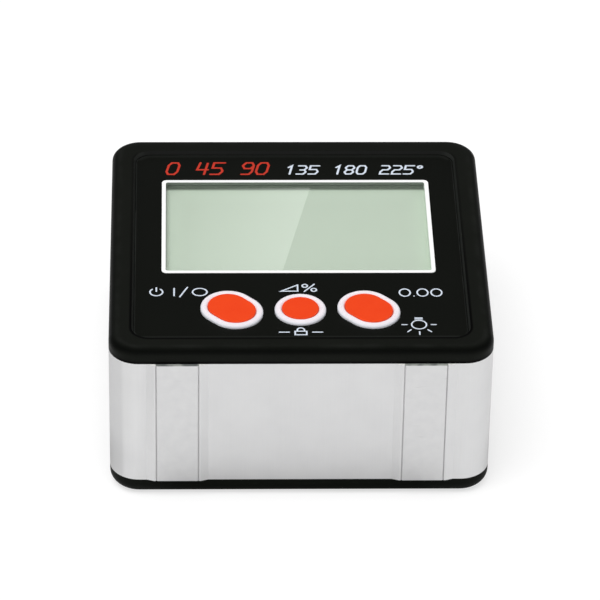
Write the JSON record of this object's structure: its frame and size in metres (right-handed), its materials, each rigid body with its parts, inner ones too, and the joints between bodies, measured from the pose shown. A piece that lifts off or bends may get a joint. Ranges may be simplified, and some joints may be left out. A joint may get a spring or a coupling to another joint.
{
  "type": "digital inclinometer",
  "caption": "Square digital inclinometer box with a brushed aluminium tube, magnet strips on its measuring face, a sunk panel with a display and push keys, and a snap-in battery door.",
  "frame": {"origin": "centre of the rear cover's outer face, on the axis of the square case", "axes": "+Z out of the display, so the part lies on its rear cover; +X to the display's right; -Y out of the measuring face with the magnet strips"},
  "size_m": [0.06, 0.0604, 0.028],
  "materials": {
    "bezel_plastic": "fine moulded texture",
    "label_panel": "smooth printed polycarbonate film",
    "white_border": "smooth white",
    "lens_clear": "clear acrylic",
    "polariser_film": "grey-green film",
    "display_glass": "clear glass",
    "reflector_film": "satin film",
    "guide_acrylic": "clear acrylic",
    "lamp_body": "moulded lamp body",
    "holder_plastic": "white moulding",
    "elastomer": "layered elastomer",
    "board_laminate": "green solder mask",
    "screw_zinc": "zinc plated",
    "chip_black": "moulded epoxy",
    "crystal_can": "drawn can",
    "capacitor_body": "ceramic",
    "switch_body": "moulded housing",
    "plunger_plastic": "moulded plunger",
    "key_white": "satin silicone",
    "key_orange": "satin silicone",
    "tube_aluminium": "fine brushed and clear anodised",
    "magnet_plating": "nickel plated",
    "cover_plastic": "fine moulded texture",
    "cell_sleeve": "plain sleeve",
    "spring_steel": "nickel plated wire",
    "contact_plate": "nickel plated",
    "case_screw_black": "black oxide"
  },
  "bodies": {
    "housing": {"front_bezel": "bezel_plastic", "overlay_panel": "label_panel", "window_frame": "white_border", "window_lens": "lens_clear", "front_polariser": "polariser_film", "lcd_upper_glass": "display_glass", "lcd_lower_glass": "display_glass", "rear_polariser": "reflector_film", "backlight_guide": "guide_acrylic", "backlight_leds": "lamp_body", "lcd_holder": "holder_plastic", "contact_strip": "elastomer", "main_board": "board_laminate", "board_screws": "screw_zinc", "tilt_sensor": "chip_black", "controller_chip": "chip_black", "clock_crystal": "crystal_can", "board_capacitors": "capacitor_body", "power_switch": "switch_body", "hold_switch": "switch_body", "zero_switch": "switch_body", "tube_body": "tube_aluminium", "magnet_strip_left": "magnet_plating", "magnet_strip_right": "magnet_plating", "rear_cover": "cover_plastic", "battery_front": "cell_sleeve", "battery_rear": "cell_sleeve", "battery_spring_left": "spring_steel", "battery_spring_right": "spring_steel", "minus_terminal": "contact_plate", "plus_terminal": "contact_plate", "battery_link": "contact_plate", "case_screws": "case_screw_black"},
    "power_button": {"power_key_rim": "key_white", "power_key_pad": "key_orange", "power_plunger": "plunger_plastic"},
    "hold_button": {"hold_key_rim": "key_white", "hold_key_pad": "key_orange", "hold_plunger": "plunger_plastic"},
    "zero_button": {"zero_key_rim": "key_white", "zero_key_pad": "key_orange", "zero_plunger": "plunger_plastic"},
    "battery_door": {"battery_door": "cover_plastic"}
  },
  "joints": [
    {"name": "power_press", "type": "slide", "parent": "housing", "child": "power_button", "axis": [0, 0, -1], "range_m": [0, 0.0004], "stiffness_N_per_m": 3000, "springref_m": -0.0002},
    {"name": "hold_press", "type": "slide", "parent": "housing", "child": "hold_button", "axis": [0, 0, -1], "range_m": [0, 0.0004], "stiffness_N_per_m": 3000, "springref_m": -0.0002},
    {"name": "zero_press", "type": "slide", "parent": "housing", "child": "zero_button", "axis": [0, 0, -1], "range_m": [0, 0.0004], "stiffness_N_per_m": 3000, "springref_m": -0.0002},
    {"name": "door_hinge", "type": "hinge", "parent": "housing", "child": "battery_door", "pos_m": [0, 0.01305, 0.0003], "axis": [1, 0, 0], "range_deg": [0, 60]}
  ]
}
